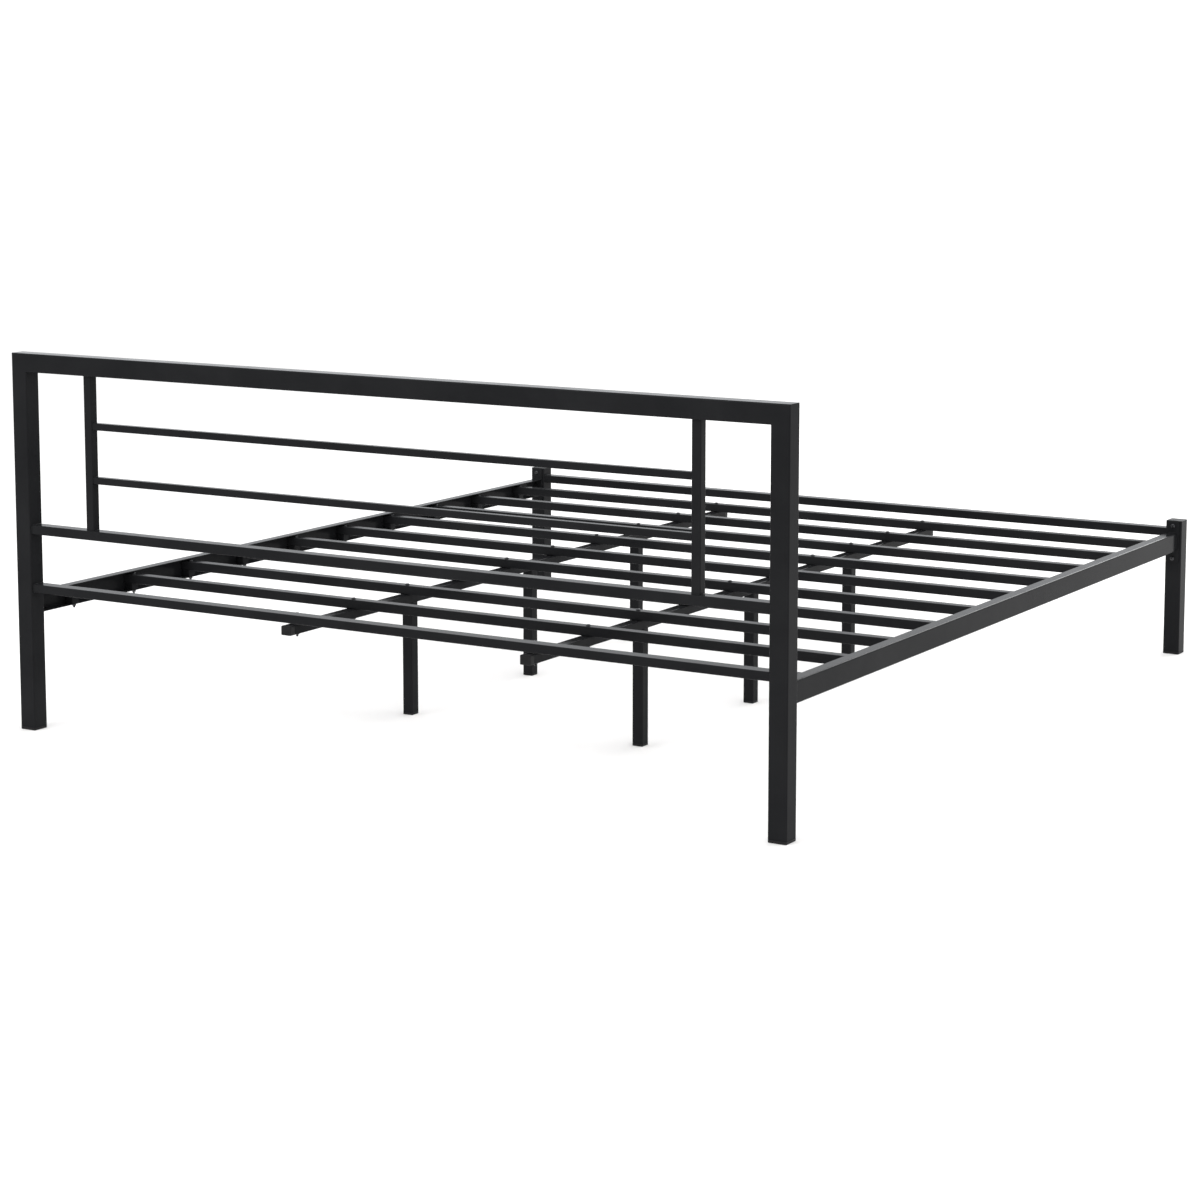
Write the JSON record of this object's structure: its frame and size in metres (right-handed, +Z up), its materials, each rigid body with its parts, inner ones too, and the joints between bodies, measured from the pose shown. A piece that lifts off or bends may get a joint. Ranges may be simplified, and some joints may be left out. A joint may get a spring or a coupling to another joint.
{
  "type": "bed frame",
  "caption": "Black tubular metal bed frame with a tall open headboard, low foot end, channel side rails, and cross slats on support beams with centre legs, for a 180 x 200 cm mattress.",
  "frame": {"origin": "on the floor, at the middle of the footprint", "axes": "+Z up; +Y from the foot end to the headboard, along the bed; +X to the right as seen from the foot end"},
  "size_m": [1.87, 2.11, 0.82],
  "materials": {
    "frame_coat": "satin black powder coat on steel tube",
    "rail_coat": "satin black powder coat on folded and flat steel",
    "support_coat": "satin black powder coat on steel tube, semi-gloss",
    "slat_coat": "satin black powder coat on steel tube",
    "plug_plastic": "moulded black plastic, lightly grained",
    "bolt_steel": "black zinc plated steel"
  },
  "bodies": {
    "root": {"head_post_left": "frame_coat", "head_post_right": "frame_coat", "head_top_rail": "frame_coat", "head_mid_rail": "frame_coat", "head_bottom_rail": "frame_coat", "head_lower_bar": "frame_coat", "head_upper_bar": "frame_coat", "head_inner_upright_left": "frame_coat", "head_inner_upright_right": "frame_coat", "foot_post_left": "frame_coat", "foot_post_right": "frame_coat", "foot_cross_rail": "frame_coat", "side_rail_left": "rail_coat", "support_beam_left": "support_coat", "side_rail_right": "rail_coat", "support_beam_right": "support_coat", "head_end_plate_left": "rail_coat", "head_post_foot_left": "plug_plastic", "beam_cap_head_left": "plug_plastic", "head_bolt_left_upper": "bolt_steel", "head_bolt_left_lower": "bolt_steel", "head_end_plate_right": "rail_coat", "head_post_foot_right": "plug_plastic", "beam_cap_head_right": "plug_plastic", "head_bolt_right_upper": "bolt_steel", "head_bolt_right_lower": "bolt_steel", "foot_end_plate_left": "rail_coat", "foot_post_foot_left": "plug_plastic", "beam_cap_foot_left": "plug_plastic", "foot_bolt_left_upper": "bolt_steel", "foot_bolt_left_lower": "bolt_steel", "foot_end_plate_right": "rail_coat", "foot_post_foot_right": "plug_plastic", "beam_cap_foot_right": "plug_plastic", "foot_bolt_right_upper": "bolt_steel", "foot_bolt_right_lower": "bolt_steel", "foot_post_cap_left": "plug_plastic", "foot_post_cap_right": "plug_plastic", "centre_leg_head_left": "support_coat", "centre_leg_foot_head_left": "plug_plastic", "centre_leg_head_right": "support_coat", "centre_leg_foot_head_right": "plug_plastic", "centre_leg_middle_left": "support_coat", "centre_leg_foot_middle_left": "plug_plastic", "centre_leg_middle_right": "support_coat", "centre_leg_foot_middle_right": "plug_plastic", "centre_leg_foot_left": "support_coat", "centre_leg_foot_foot_left": "plug_plastic", "centre_leg_foot_right": "support_coat", "centre_leg_foot_foot_right": "plug_plastic", "slat_01": "slat_coat", "slat_02": "slat_coat", "slat_03": "slat_coat", "slat_04": "slat_coat", "slat_05": "slat_coat", "slat_06": "slat_coat", "slat_07": "slat_coat", "slat_08": "slat_coat", "slat_09": "slat_coat", "slat_10": "slat_coat"}
  },
  "joints": []
}
